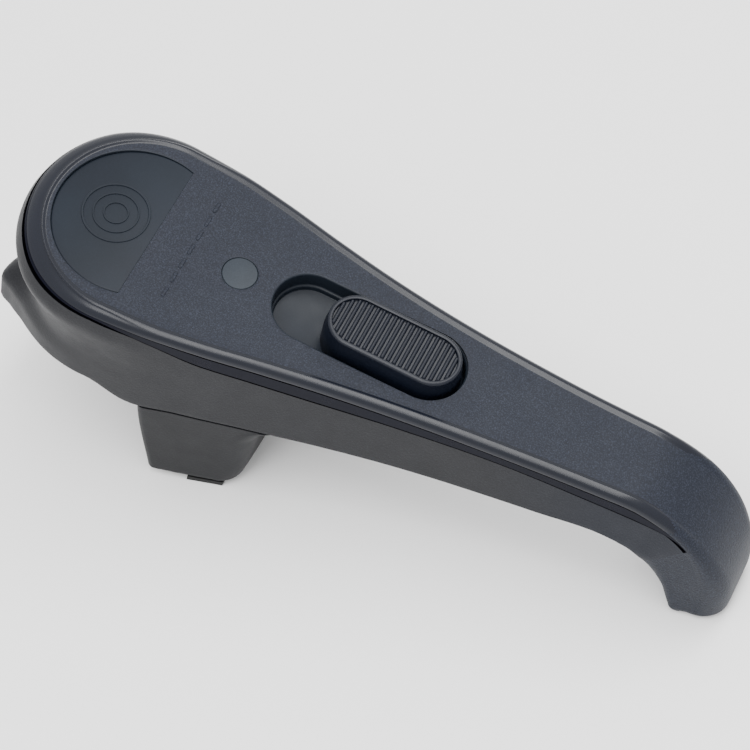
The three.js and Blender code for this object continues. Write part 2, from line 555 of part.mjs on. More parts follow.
function footCore() {
  const { front, rear, rearLow, apron, coreTop } = FOOT;
  const outline = footSide(front + apron + GAP, rear, rearLow);
  const below = slab(outline, -40, 40).intersect(footForm(apron + GAP)).subtract(aboveEdge());
  const above = box(front + apron + 1, rear - 5, -18.4, 18.4, -46, -coreTop);
  const way = box(BOLT_WAY.from, BOLT_WAY.to, -BOLT_WAY.half, BOLT_WAY.half, -BELOW, 0);
  const holes = footSpots.flatMap(([x, y]) => [
    bar(x, y, SCREW.radius + SCREW.play, -BELOW, 0, 12),
    bar(x, y, SCREW.head + SCREW.play, -BELOW, -coreTop - 12, 16),
  ]);
  const pads = restSpots.map(([x, y]) => bar(x, y, REST.stud + 0.1, -BELOW, floorAt(x) + 5, 16));
  return below.add(above).subtract(union(way, ...holes, ...pads));
}
const restSpots = [-1, 1].map((side) => [(REST.from + REST.to) / 2, side * (REST.inner + 2)]);
function restPad([x, y]) {
  const { from, to, inner, thick, stud } = REST;
  const [low, high] = [standZ(from), standZ(to)];
  const outline = [[from, low], [to, high], [to, high + thick], [from, low + thick]];
  const sides = y < 0 ? [-inner - 9, -inner] : [inner, inner + 9];
  const body = slab(outline, ...sides).intersect(footForm(0.1));
  return body.add(bar(x, y, stud, standZ(x) + 1, floorAt(x) + 4.5, 16));
}
const footScrew = ([x, y]) => screwUp(x, y, -FOOT.coreTop - 12 - 0.05, 12 + 8);

// ---------------------------------------------------------------- assembly
const deckFrame = new THREE.Group();
function add(name, body, color, roughness = 0.5, metalness = 0) {
  const material = new THREE.MeshStandardMaterial({ color, roughness, metalness });
  const mesh = new THREE.Mesh(geometryOf(body), material);
  mesh.name = name;
  deckFrame.add(mesh);
}
const DARK = 0x4b525f;
const SLIDE = 0x33373f;
const PLAIN = 0x3c4046;
const STEEL = 0x9a9da2;
const metal = (name, body) => add(name, body, STEEL, 0.3, 1);
const eachSpot = (name, spots, make) => spots.forEach((spot, i) => metal(`${name}_${i + 1}`, make(spot)));

add('handle_shell', handleShell(), DARK);
add('badge_inlay', badgeInlay(), 0x434b57, 0.4);
add('round_plug', roundPlug(), 0x525a66, 0.4);
add('grip_cover', gripCover(), PLAIN);
add('foot_apron', footApron(), PLAIN);
add('foot_core', footCore(), PLAIN, 0.6);
restSpots.forEach((spot, i) => add(`rest_pad_${i + 1}`, restPad(spot), 0x17181a, 0.8));
add('thumb_slide', thumbSlide(), SLIDE);
add('slide_carriage', slideCarriage(), SLIDE);
metal('lock_bolt', lockBolt());
metal('guide_plate', guidePlate());
metal('return_spring', returnSpring());
metal('spring_post', springPost());
add('threaded_insert', threadedInsert(), 0xb08d4a, 0.35, 1);
add('lid_washer', lidWasher(), 0x2a2a2c, 0.8);
metal('lid_screw', lidScrew());
eachSpot('slide_screw', slideScrewSpots, slideScrew);
eachSpot('bolt_rivet', rivetSpots, boltRivet);
eachSpot('guide_screw', bossSpots, guideScrew);
eachSpot('foot_screw', footSpots, footScrew);
eachSpot('cover_screw', COVER.screws, (x) => screwUp(x, 0, coverLow(x) + 0.95, 9));

// the deck leans down towards the hook; the origin is the middle of the footprint
deckFrame.rotation.y = tilt;
const standing = new THREE.Group();
standing.add(deckFrame);
standing.updateMatrixWorld(true);
const bounds = new THREE.Box3().setFromObject(standing, true);
const middle = bounds.getCenter(new THREE.Vector3());
standing.position.set(-middle.x, 0, -bounds.min.z);
const handle = new THREE.Group();
handle.add(standing);
export default handle;
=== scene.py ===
"""Looks of the lid handle: fine surfaces, materials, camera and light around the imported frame.

Shapes are worked out in the deck frame, in millimetres: the deck plane is z = 0, the mirror plane
is y = 0 and x runs from the head to the hook. DECK_TO_ROW carries them into the frame, where
lengths are in metres; textures, lights and the floor are set there directly.
"""
import json
import math

import bmesh
import bpy
from mathutils import Matrix, Vector


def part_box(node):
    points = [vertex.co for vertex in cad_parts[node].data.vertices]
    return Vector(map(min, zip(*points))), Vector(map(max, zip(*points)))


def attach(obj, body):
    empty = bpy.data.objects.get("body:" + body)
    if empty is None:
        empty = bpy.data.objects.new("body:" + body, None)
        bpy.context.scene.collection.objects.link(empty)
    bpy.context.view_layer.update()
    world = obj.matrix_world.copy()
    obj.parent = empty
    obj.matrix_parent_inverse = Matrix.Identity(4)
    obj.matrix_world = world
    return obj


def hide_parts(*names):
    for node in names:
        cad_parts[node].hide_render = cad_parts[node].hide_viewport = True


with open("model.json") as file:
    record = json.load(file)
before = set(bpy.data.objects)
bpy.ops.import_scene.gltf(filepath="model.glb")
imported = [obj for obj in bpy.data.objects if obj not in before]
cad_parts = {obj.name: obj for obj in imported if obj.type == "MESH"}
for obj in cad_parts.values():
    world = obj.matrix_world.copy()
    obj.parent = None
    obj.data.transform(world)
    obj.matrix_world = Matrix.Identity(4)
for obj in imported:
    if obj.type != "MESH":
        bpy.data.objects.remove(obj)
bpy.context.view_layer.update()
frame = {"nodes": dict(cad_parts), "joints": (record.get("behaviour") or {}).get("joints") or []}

MM = 0.001

# ---------------------------------------------------------------- driving dimensions, in mm
HEAD_X = 3
HEAD_RADIUS = 28.2
HEAD_BULGE = 7.2
HEAD_WAIST = 2.8
DECK_END = 160
DECK_END_HALF = 10.6
DECK_THICK = 3.2
DECK_RISE = 0.00041
DECK_RISE_FROM = 54
WALL = 2.8
EDGE_OUT = 2.8
EDGE_DROP = 2.2
BAND_DEPTH = 8.2
BAND_STEP = 1.1
BAND_START = -3
FLARE = 1.6
HOOK_END = 194.5
HOOK_SPREAD = 1.2
HOOK_CORNER = 7.5
HOOK_ROUND = 2.4
HOOK_INNER_X = 178.3
HOOK_INNER_ROUND = 5.5
HOOK_STAND_X = 181
HOOK_STAND_DROP = 39.8
TAIL_FROM = 154
TAIL_SQUARE = 1.92
CROWN = {"height": 0.4, "inner": 0.9, "outer": 0.3}
CREASE = 0.3
LIP = 1.2
GAP = 0.3
SLOT = {"start": 44.2, "end": 101.9, "half": 10.65, "floor": 7, "wall": 2.4, "ledge": 0.8}
PAD = {"start": 59.8, "end": 100.9, "half": 9.1, "top": 5.2, "ribs": 20, "border": 2.0, "depth": 0.9}
BADGE = {"radius": 23.4, "chord": 6.7, "depth": 1.7, "play": 0.12, "sunk": 0.85, "flush": 0.03}
PLUG = {"x": 32.9, "radius": 5.08, "depth": 2.2, "play": 0.07, "sunk": 0.15}
BOLT_WAY = {"start": 33.3, "end": 64, "half": 6.6}
SHANK = {"behind": 16, "length": 9, "half": 4, "depth": 3.5}
TRAVEL = 14.5
DASHES = {"x": 17.6, "count": 7, "pitch": 5.2, "length": 3.7, "half": 0.55}

# ---------------------------------------------------------------- the deck frame in the row frame
slide_axis = Vector(frame["joints"][0]["axis"]).normalized()
TILT = math.atan2(slide_axis.z, -slide_axis.x)
TURN = Matrix.Rotation(TILT, 4, "Y")


def middle(node):
    low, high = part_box(node)
    return (low + high) / 2


# the CAD plug's middle: its face is sunk under the deck, and a gap is left under it
plug_centre = Vector((PLUG["x"], 0, (GAP - PLUG["depth"] - PLUG["sunk"]) / 2)) * MM
ORIGIN = middle("round_plug") - TURN @ plug_centre
DECK_TO_ROW = Matrix.Translation(ORIGIN) @ TURN @ Matrix.Scale(MM, 4)


# ---------------------------------------------------------------- small maths
def lerp(a, b, t):
    return a + (b - a) * t


def clamp(value, low=0.0, high=1.0):
    return max(low, min(high, value))


def smooth(value, low, high):
    t = clamp((value - low) / (high - low))
    return t * t * (3 - 2 * t)


def through(knots, x):
    """Value of a smooth curve through the knots (x, value), without overshoot."""
    if x <= knots[0][0]:
        return knots[0][1]
    if x >= knots[-1][0]:
        return knots[-1][1]
    i = next(n for n, knot in enumerate(knots) if knot[0] > x) - 1

    def slope(n):
        return (knots[n + 1][1] - knots[n][1]) / (knots[n + 1][0] - knots[n][0])

    def tangent(n):
        if n == 0:
            return slope(0)
        if n == len(knots) - 1:
            return slope(n - 1)
        a, b = slope(n - 1), slope(n)
        return 0 if a * b <= 0 else 2 * a * b / (a + b)

    width = knots[i + 1][0] - knots[i][0]
    t = (x - knots[i][0]) / width
    p, q = knots[i][1], knots[i + 1][1]
    m, n = tangent(i) * width, tangent(i + 1) * width
    return p + t * (m + t * (3 * (q - p) - 2 * m - n + t * (2 * (p - q) + m + n)))


def stand_z(x):
    """The surface that the handle stands on, as a height in the deck frame."""
    return -HOOK_STAND_DROP - math.tan(TILT) * (HOOK_STAND_X - x)


HOOK_DROP = -stand_z(HOOK_END)

# half width of the deck's edge, depth of the shell's lower edge, and the head's rim
DECK_HALF = (
    (HEAD_X, HEAD_RADIUS), (18, 27.5), (34, 25.2), (52, 21.7), (72, 18.2),
    (92, 15.5), (112, 13.5), (135, 11.8), (DECK_END, DECK_END_HALF),
)
LOWER_EDGE = (
    (-25, 45), (-12, 39.5), (HEAD_X, 38), (16, 42), (30, 38.5), (60, 34), (100, 26.8),
    (135, 21), (154, 17.2), (165, 19.8), (173.5, 28.6), (178, 36.8),
    (HOOK_STAND_X, HOOK_STAND_DROP), (187, -stand_z(187)), (HOOK_END, HOOK_DROP),
)
RIM_OUT = ((0, 3.6), (10, 5.0), (20, 9.0), (25, 10.6), (32, 8.0), (44, 5.4), (60, 4.4), (90, 3.0))
FRONT_WALL = (
    (0, 0), (0.6, 2.0), (2.2, 4.4), (5, 6.0), (9, HEAD_BULGE), (15, 5.2), (20, 3.6), (25, HEAD_WAIST),
)


def deck_half(x):
    return through(DECK_HALF, x)


def deck_z(x):
    return DECK_RISE * max(0, x - DECK_RISE_FROM) ** 2


def lower_edge(x):
    return -through(LOWER_EDGE, x)


# depth of the polished band's lip under the deck's edge
BAND_LEAST = 0.3
BAND_LIP = (
    (BAND_START, EDGE_DROP + BAND_LEAST), (9, 3.6), (21, 5.4), (36, BAND_DEPTH), (64, 8.7),
    (92, 7.3), (121, 5.9), (150, 6.8), (168, 7.4),
)
BAND_STEP_LENGTH = 15


def band_depth(x):
    return through(BAND_LIP, x)


def band_step(x):
    return BAND_STEP * smooth(x, BAND_START, BAND_START + BAND_STEP_LENGTH)


# ---------------------------------------------------------------- the shell's outer form
DECK_REGION, BEAD_REGION, BAND_REGION, LIP_REGION, SKIRT_REGION, POCKET_REGION = range(6)

# orders of the places that the loops of the outer form pass, from the bead's crown at 0
DECK_EDGE = -1
BEAD_FOOT = 4
SEAM = 4.05
BAND_TOP = 4.1
LIP_FROM = 4.9
LIP_EDGE = 5
LIP_UNDER = 6


class Level:
    """One loop of the outer form, and the region of the faces below it. order says how far down it
    lies: over the bead, down the band and under the band's lip. roll is the bead's angle there, a
    quarter turn from crown to foot. share then runs 0-1 down the skirt, inset draws the loop in at
    the lower edge, and crease sinks it between bead and band."""

    def __init__(self, order, region, share=0.0, inset=0.0, crease=0.0):
        self.order = order
        self.region = region
        self.share = share
        self.inset = inset
        self.crease = crease
        self.roll = clamp(order / BEAD_FOOT) * math.pi / 2


FLANK_STEPS = 5
BEAD_STEPS = 14
BAND_STEPS = 6
LIP_STEPS = 6
SKIRT_STEPS = 26
ROUND_STEPS = 5
LOWER_ROUND = 0.9
SKIRT_END = 0.965


def levels():
    """The loops from the deck's edge down to the rounded lower edge."""
    rows = [Level(i / FLANK_STEPS + DECK_EDGE, BEAD_REGION) for i in range(FLANK_STEPS)]
    rows += [Level(BEAD_FOOT * i / BEAD_STEPS, BEAD_REGION) for i in range(BEAD_STEPS + 1)]
    # the seam's faces take the near-black lip material: a painted shade line in the crease between bead and
    # band
    rows += [Level(SEAM, LIP_REGION, crease=CREASE), Level(BAND_TOP, BAND_REGION)]
    rows += [Level(lerp(BAND_TOP, LIP_FROM, i / BAND_STEPS), BAND_REGION) for i in range(1, BAND_STEPS)]
    # the band's lowest strip and the lip's underside take the near-black material: painted shade under the
    # band's lip
    rows += [Level(LIP_FROM, LIP_REGION), Level(LIP_EDGE, LIP_REGION)]
    rows += [Level(LIP_EDGE + i / LIP_STEPS, LIP_REGION) for i in range(1, LIP_STEPS)]
    rows += [Level(LIP_UNDER, SKIRT_REGION, SKIRT_END * i / SKIRT_STEPS) for i in range(SKIRT_STEPS + 1)]
    for i in range(1, ROUND_STEPS + 1):
        angle = i / ROUND_STEPS * math.pi / 2
        share = lerp(SKIRT_END, 1, math.sin(angle))
        rows.append(Level(LIP_UNDER, SKIRT_REGION, share, LOWER_ROUND * (1 - math.cos(angle))))
    return rows


def edge_profile(level, out, drop, crown=1.0):
    """How far out and how far down a place on the bead lies, from the deck's edge line."""
    height = CROWN["height"] * crown
    if level.order < 0:
        rise = level.order - DECK_EDGE
        return lerp(-CROWN["inner"], CROWN["outer"], rise), -height * smooth(rise, 0, 1)
    across = lerp(CROWN["outer"], out, math.sin(level.roll)) - level.crease
    return across, (drop + height) * (1 - math.cos(level.roll)) - height


def side_height(level, x, low):
    """Height of a level along the sides, where the lower edge lies at low."""
    top = deck_z(x)
    band = top - band_depth(x)
    if level.order <= BEAD_FOOT:
        return top - edge_profile(level, EDGE_OUT, EDGE_DROP)[1]
    if level.order <= LIP_EDGE:
        return lerp(top - EDGE_DROP, band, level.order - BEAD_FOOT)
    if level.share == 0:
        return band - LIP * smooth(level.order, LIP_EDGE, LIP_UNDER)
    return lerp(band - LIP, low, level.share)


STEP_END = 5.8


def side_out(level, x):
    """How far out from the deck's edge line a level lies along the sides."""
    if level.order <= LIP_EDGE:
        return edge_profile(level, EDGE_OUT, EDGE_DROP)[0]
    step = band_step(x) * smooth(level.order, LIP_EDGE, STEP_END)
    return EDGE_OUT - step + FLARE * level.share - level.inset


FRONT_DEGREES = (45, 100)
FRONT_BAND = 0.35
RIM_DEPTHS = (25, 33)
SIDE_BULGE = 0.35
BEAD_BULGE = 0.8


def head_point(level, angle):
    """A point of the head, angle round from its front. The front's wall and rim fade into the sides
    within FRONT_DEGREES, and the wall turns out into the rim within RIM_DEPTHS."""
    degrees = math.degrees(angle)
    front_x = HEAD_X - HEAD_RADIUS * math.cos(angle)
    low = lower_edge(front_x)
    frontness = 1 - smooth(degrees, *FRONT_DEGREES)
    z = side_height(level, HEAD_X, low)
    if level.share > 0:
        z = lerp(z, lerp(-BAND_DEPTH * FRONT_BAND, low, level.share), frontness)
    flare = smooth(-z, *RIM_DEPTHS)
    rim = through(RIM_OUT, degrees) - level.inset
    wall = max(through(FRONT_WALL, -z), CROWN["outer"] * smooth(level.order, DECK_EDGE / 2, 0))
    front = lerp(wall - level.inset - level.crease, rim, flare)
    side = lerp(side_out(level, HEAD_X), rim, flare / 2)
    bulge = lerp(SIDE_BULGE, 1, frontness) * lerp(BEAD_BULGE, 1, clamp(level.order - 1))
    out = lerp(side, front, bulge)
    if level.order < 0:
        out = side_out(level, HEAD_X)
    radius = HEAD_RADIUS + out
    return Vector((HEAD_X - radius * math.cos(angle), radius * math.sin(angle), z))


HEAD_BLEND_END = 26


def side_point(level, x):
    """A point of the left side, blended from the head's up to HEAD_BLEND_END."""
    z = side_height(level, x, lower_edge(x))
    join = head_point(level, math.pi / 2).y - HEAD_RADIUS
    out = lerp(side_out(level, x), join, 1 - smooth(x, HEAD_X, HEAD_BLEND_END))
    return Vector((x, deck_half(x) + out, z))


# turns of the hook's bend, 0-1: where bead and band end, and between which the outer form changes
BEAD_END = 0.3
BEAD_END_ROUND = 0.05
BAND_END = 0.42
CORNER_GROWS = (BEAD_END, 1)
CROWN_FADES = (0.25, 0.5)
BAND_NARROWS = (0.04, BAND_END)
STEP_FADES = (0.2, BAND_END)
FLARE_FADES = (0, 0.5)
INNER_ROUND_GROWS = (0.1, 0.9)
# how the slice's lower end leads its top, and the last share of the skirt, which rounds in
INNER_LEAD = 0.75
INNER_ROUND_FROM = 0.68
INNER_ROUND_SHARE = 0.32


def tail_ends(turn, foot):
    """The top and the lower end of the tail's slice: turn runs 0-1 over the hook's bend, then foot
    runs 0-1 round the edge of the face that it stands on."""
    angle, bend = turn * math.pi / 2, 2 / TAIL_SQUARE
    x = lerp(TAIL_FROM, HOOK_END, math.sin(angle) ** bend)
    fall = deck_z(HOOK_END) + HOOK_DROP - HOOK_ROUND
    top = Vector((x, 0, deck_z(x) - fall * (1 - max(0, math.cos(angle)) ** bend)))
    low_x = lerp(TAIL_FROM, HOOK_INNER_X, turn ** INNER_LEAD)
    low = Vector((low_x, 0, lower_edge(low_x)))
    if foot:
        away, down = 1 - math.cos(foot * math.pi / 2), math.sin(foot * math.pi / 2)
        end_x, inner_x = HOOK_END - HOOK_ROUND, HOOK_INNER_X + 2 * HOOK_ROUND
        top = Vector((lerp(HOOK_END, end_x, away), 0, lerp(top.z, stand_z(end_x), down)))
        low = Vector((lerp(low_x, inner_x, away), 0, lerp(low.z, stand_z(inner_x), down)))
    return top, low


def tail_point(level, turn, foot):
    """A point of the tail's slice that turn and foot give, on the left side."""
    top, low = tail_ends(turn, foot)
    grow = smooth(turn, *CORNER_GROWS)
    out, drop = lerp(EDGE_OUT, HOOK_CORNER, grow), lerp(EDGE_DROP, HOOK_CORNER, grow)
    across, depth = edge_profile(level, out, drop, 1 - smooth(turn, *CROWN_FADES))
    lip = lerp(band_depth(top.x), drop + BAND_LEAST, smooth(turn, *BAND_NARROWS))
    length = (low - top).length
    if BEAD_FOOT < level.order <= LIP_EDGE:
        depth = lerp(drop, lip, level.order - BEAD_FOOT)
    elif level.order > LIP_EDGE:
        depth = lerp(lip + LIP * smooth(level.order, LIP_EDGE, LIP_UNDER), length, level.share)
        step = BAND_STEP * smooth(level.order, LIP_EDGE, STEP_END) * (1 - smooth(turn, *STEP_FADES))
        spread_out = lerp(FLARE, HOOK_SPREAD, smooth(turn, *FLARE_FADES)) * level.share
        across = out - step + spread_out - level.inset
    spot = top.lerp(low, depth / length)
    half = deck_half(top.x) + EDGE_OUT - out
    inset = HOOK_ROUND / 2 * (1 - math.cos(foot * math.pi / 2))
    inner = clamp((level.share - INNER_ROUND_FROM) / INNER_ROUND_SHARE)
    inset += HOOK_INNER_ROUND * smooth(turn, *INNER_ROUND_GROWS) * (1 - math.sqrt(1 - inner ** 2))
    return Vector((spot.x, half + across - inset, spot.z))


HEAD_STEPS = 46
SIDE_STEPS = 92
TAIL_STEPS = 72
FOOT_STEPS = 8


def half_loop(level):
    """A level's points from the head's front, on the mirror plane, by the left side to the hook."""
    quarter = math.pi / 2
    points = [head_point(level, i / HEAD_STEPS * quarter) for i in range(HEAD_STEPS + 1)]
    for i in range(1, SIDE_STEPS + 1):
        points.append(side_point(level, lerp(HEAD_X, TAIL_FROM, i / SIDE_STEPS)))
    points += [tail_point(level, i / TAIL_STEPS, 0) for i in range(1, TAIL_STEPS + 1)]
    points += [tail_point(level, 1, i / FOOT_STEPS) for i in range(1, FOOT_STEPS + 1)]
    points[0].y = 0
    return points


def mirrored_loop(half, shared_end=True):
    """The loop with its mirrored side; shared_end says that its last point lies on the mirror plane."""
    other = half[1:-1] if shared_end else half[1:]
    return half + [Vector((p.x, -p.y, p.z)) for p in reversed(other)]


def region_of(level, station):
    """The region of a face below a level. The bead ends round on the hook's bend and the band runs
    out to a tip behind it; past them the hook is one grained surface."""
    turn = (station - HEAD_STEPS - SIDE_STEPS) / TAIL_STEPS
    bead_end = BEAD_END - BEAD_END_ROUND * (level.order / 2 - 1) ** 2
    if level.region == BEAD_REGION and turn > bead_end:
        return DECK_REGION
    if level.region in (BAND_REGION, LIP_REGION, SKIRT_REGION) and turn > BAND_END:
        return DECK_REGION
    return level.region


# ---------------------------------------------------------------- mesh helpers, in the deck frame
def mesh_object(name, bm, smooth_angle=35):
    """A new object from bm, with doubles merged, normals outward and sharp edges by angle."""
    bmesh.ops.remove_doubles(bm, verts=bm.verts, dist=1e-4)
    bmesh.ops.dissolve_degenerate(bm, edges=bm.edges, dist=1e-5)
    bmesh.ops.recalc_face_normals(bm, faces=bm.faces)
    mesh = bpy.data.meshes.new(name)
    bm.to_mesh(mesh)
    bm.free()
    obj = bpy.data.objects.new(name, mesh)
    bpy.context.scene.collection.objects.link(obj)
    shade(obj, smooth_angle)
    return obj


def shade(obj, smooth_angle=35):
    for polygon in obj.data.polygons:
        polygon.use_smooth = True
    obj.data.set_sharp_from_angle(angle=math.radians(smooth_angle))


def loft(name, loops, smooth_angle=35, cap_steps=0, region=None):
    """A closed body through stacked loops of points. Each end is capped in strips of cap_steps faces
    or, if there are none, by one face. region(row, station) gives the region of a face between loops,
    where station counts from the loops' first point on both sides."""
    bm = bmesh.new()
    rows = [[bm.verts.new(p) for p in loop] for loop in loops]
    count = len(loops[0])
    for k, (upper, lower) in enumerate(zip(rows, rows[1:])):
        for i in range(count):
            n = (i + 1) % count
            face = bm.faces.new((upper[i], lower[i], lower[n], upper[n]))
            if region:
                face.material_index = region(k, min(i, count - 1 - i))
    cap(bm, rows[0], cap_steps)
    cap(bm, rows[-1], cap_steps)
    return mesh_object(name, bm, smooth_angle)


def cap(bm, row, steps):
    """Closes a mirrored loop in strips that cross the mirror plane, each of steps faces. The last
    strip is one face where the loop's far end has no point on the plane, and if steps is 0, so is
    the whole cap."""
    if not steps:
        bm.faces.new(row)
        return
    count = len(row)
    half = count // 2
    ribs = []
    for i in range(half + 1):
        a, b = row[i], row[(count - i) % count]
        if a is b:
            ribs.append([a] * (steps + 1))
        elif i < half or count % 2 == 0:
            ribs.append([a, *(bm.verts.new(a.co.lerp(b.co, k / steps)) for k in range(1, steps)), b])
        else:
            bm.faces.new((*ribs[-1], b, a))
    for left, right in zip(ribs, ribs[1:]):
        for k in range(steps):
            corners = []
            for vert in (left[k], right[k], right[k + 1], left[k + 1]):
                if vert not in corners:
                    corners.append(vert)
            if len(corners) > 2:
                bm.faces.new(corners)


def skin(bm, rows):
    """Faces between neighbouring rows of points, each row a closed ring."""
    for first, second in zip(rows, rows[1:]):
        for k in range(len(first)):
            n = (k + 1) % len(first)
            bm.faces.new((first[k], first[n], second[n], second[k]))


def combine(obj, others, how, region=DECK_REGION):
    """Combines others with obj, one by one, and removes them; the faces that they leave on it get
    a region. how is UNION, DIFFERENCE or INTERSECT."""
    for other in others:
        other.data.polygons.foreach_set("material_index", [region] * len(other.data.polygons))
        modifier = obj.modifiers.new(how, "BOOLEAN")
        modifier.operation = how
        modifier.solver = "EXACT"
        modifier.object = other
        graph = bpy.context.evaluated_depsgraph_get()
        mesh = bpy.data.meshes.new_from_object(obj.evaluated_get(graph))
        obj.modifiers.clear()
        obj.data = mesh
        bpy.data.objects.remove(other)
    return obj


def obround(start, end, half, out=0.0, arc_steps=40, side_step=0.5):
    """Points round an outline with straight sides along x and round ends, drawn out by out."""
    radius = half + out
    first, last = start + half, end - half
    runs = max(2, round((last - first) / side_step))
    points = [(lerp(first, last, i / runs), -radius) for i in range(runs)]
    for i in range(arc_steps):
        angle = -math.pi / 2 + math.pi * i / arc_steps
        points.append((last + radius * math.cos(angle), radius * math.sin(angle)))
    points += [(lerp(last, first, i / runs), radius) for i in range(runs)]
    for i in range(arc_steps):
        angle = math.pi / 2 + math.pi * i / arc_steps
        points.append((first + radius * math.cos(angle), radius * math.sin(angle)))
    return points


def at_height(outline, z):
    return [Vector((x, y, z)) for x, y in outline]


def circle(x, y, radius, sides):
    points = []
    for i in range(sides):
        angle = 2 * math.pi * i / sides
        points.append((x + radius * math.cos(angle), y + radius * math.sin(angle)))
    return points


def block(name, start, end, half, low, high):
    outline = [(start, -half), (end, -half), (end, half), (start, half)]
    return loft(name, [at_height(outline, high), at_height(outline, low)])


def bar(name, x, y, radius, low, high, sides=40):
    outline = circle(x, y, radius, sides)
    return loft(name, [at_height(outline, high), at_height(outline, low)])


def place(obj, body, slot, materials, *nodes):
    """Carries a finished piece into the row frame, on its body, in place of its CAD nodes."""
    regions = [polygon.material_index for polygon in obj.data.polygons]
    obj.data.transform(DECK_TO_ROW)
    obj.data.materials.clear()
    for material in materials:
        obj.data.materials.append(material)
    obj.data.polygons.foreach_set("material_index", [min(r, len(materials) - 1) for r in regions])
    if nodes:
        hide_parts(*nodes)
    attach(obj, body)
    return obj


# ---------------------------------------------------------------- materials
# noise scales in turns per metre, from slow changes of tone to the finest grain
CLOUD_SCALE = 45
WAVE_SCALE = 90
STAIN_SCALE = 120
GLOSS_SCALE = 160
BRUSH_SCALE = 900
GRAIN_SCALE = 1500
SPECK_SCALE = 2900
FINE_GRAIN_SCALE = 4200
HOOK_TONE_X = (0.035, 0.080)


def shader(name, colour, roughness, metallic=0.0, specular=0.5):
    """A new material and its Principled node."""
    material = bpy.data.materials.new(name)
    material.use_nodes = True
    principled = material.node_tree.nodes["Principled BSDF"]
    principled.inputs["Base Color"].default_value = (*colour, 1)
    principled.inputs["Roughness"].default_value = roughness
    principled.inputs["Metallic"].default_value = metallic
    principled.inputs["Specular IOR Level"].default_value = specular
    return material, principled


def noise(material, scale, detail=3.0, stretch=(1, 1, 1)):
    """Noise over the piece, at a scale in turns per metre, squeezed along the axes by stretch."""
    tree = material.node_tree
    place_node = tree.nodes.new("ShaderNodeTexCoord")
    mapping = tree.nodes.new("ShaderNodeMapping")
    mapping.inputs["Scale"].default_value = stretch
    texture = tree.nodes.new("ShaderNodeTexNoise")
    texture.inputs["Scale"].default_value = scale
    texture.inputs["Detail"].default_value = detail
    tree.links.new(place_node.outputs["Object"], mapping.inputs["Vector"])
    tree.links.new(mapping.outputs["Vector"], texture.inputs["Vector"])
    return texture.outputs["Fac"]


def ramp(material, fac, stops):
    """A colour ramp of (place, colour) stops over fac."""
    node = material.node_tree.nodes.new("ShaderNodeValToRGB")
    elements = node.color_ramp.elements
    elements[0].position, elements[0].color = stops[0][0], (*stops[0][1], 1)
    elements[1].position, elements[1].color = stops[-1][0], (*stops[-1][1], 1)
    for place_at, colour in stops[1:-1]:
        elements.new(place_at).color = (*colour, 1)
    material.node_tree.links.new(fac, node.inputs["Fac"])
    return node.outputs["Color"]


def spread(material, fac, low, high):
    """fac, which lies about 0.3 to 0.7, mapped to low to high."""
    node = material.node_tree.nodes.new("ShaderNodeMapRange")
    node.inputs["From Min"].default_value = 0.3
    node.inputs["From Max"].default_value = 0.7
    node.inputs["To Min"].default_value = low
    node.inputs["To Max"].default_value = high
    material.node_tree.links.new(fac, node.inputs["Value"])
    return node.outputs["Result"]


def bump(material, principled, layers):
    """Bump from layers of (height, strength, distance in mm)."""
    normal = None
    for height, strength, distance in layers:
        node = material.node_tree.nodes.new("ShaderNodeBump")
        node.inputs["Strength"].default_value = strength
        node.inputs["Distance"].default_value = distance * MM
        material.node_tree.links.new(height, node.inputs["Height"])
        if normal:
            material.node_tree.links.new(normal, node.inputs["Normal"])
        normal = node.outputs["Normal"]
    material.node_tree.links.new(normal, principled.inputs["Normal"])


def plastic(name, colour, roughness, grain=0.0, tone=0.12, specular=0.5, speckle=0.5, towards=None):
    """Moulded plastic: a slow change of tone, fine speckle, uneven gloss and moulded grain.
    towards is a second colour that it takes on along the handle, on the way to the hook."""
    material, principled = shader(name, colour, roughness, specular=specular)
    links = material.node_tree.links
    cloud = noise(material, CLOUD_SCALE, 4)
    dark = tuple(c * (1 - tone) for c in colour)
    light = tuple(c * (1 + tone) for c in colour)
    base = ramp(material, cloud, ((0.35, dark), (0.65, light)))
    if towards:
        base = mixed(material, along_handle(material), base, towards)
    speck = spread(material, noise(material, SPECK_SCALE, 2), -speckle * 0.7, speckle)
    bright = tuple(min(1, c * 2.8 + 0.004) for c in colour)
    links.new(mixed(material, speck, base, bright), principled.inputs["Base Color"])
    gloss = noise(material, GLOSS_SCALE, 5)
    links.new(spread(material, gloss, roughness - 0.02, roughness + 0.03), principled.inputs["Roughness"])
    layers = [(noise(material, WAVE_SCALE, 2), 0.02, 0.2)]
    if grain:
        layers.append((noise(material, GRAIN_SCALE, 3), grain, 0.12))
        layers.append((noise(material, FINE_GRAIN_SCALE, 2), grain * 0.6, 0.04))
    bump(material, principled, layers)
    return material


def mixed(material, factor, first, second):
    """first turned towards the colour second by factor."""
    mix = material.node_tree.nodes.new("ShaderNodeMix")
    mix.data_type = "RGBA"
    material.node_tree.links.new(factor, mix.inputs["Factor"])
    material.node_tree.links.new(first, mix.inputs["A"])
    mix.inputs["B"].default_value = (*second, 1)
    return mix.outputs["Result"]


def along_handle(material):
    """0 along the grip, rising to 1 where the handle bends down into the hook."""
    tree = material.node_tree
    place_node = tree.nodes.new("ShaderNodeTexCoord")
    split = tree.nodes.new("ShaderNodeSeparateXYZ")
    node = tree.nodes.new("ShaderNodeMapRange")
    node.interpolation_type = "SMOOTHSTEP"
    node.inputs["From Min"].default_value = HOOK_TONE_X[0]
    node.inputs["From Max"].default_value = HOOK_TONE_X[1]
    tree.links.new(place_node.outputs["Object"], split.inputs["Vector"])
    tree.links.new(split.outputs["X"], node.inputs["Value"])
    return node.outputs["Result"]


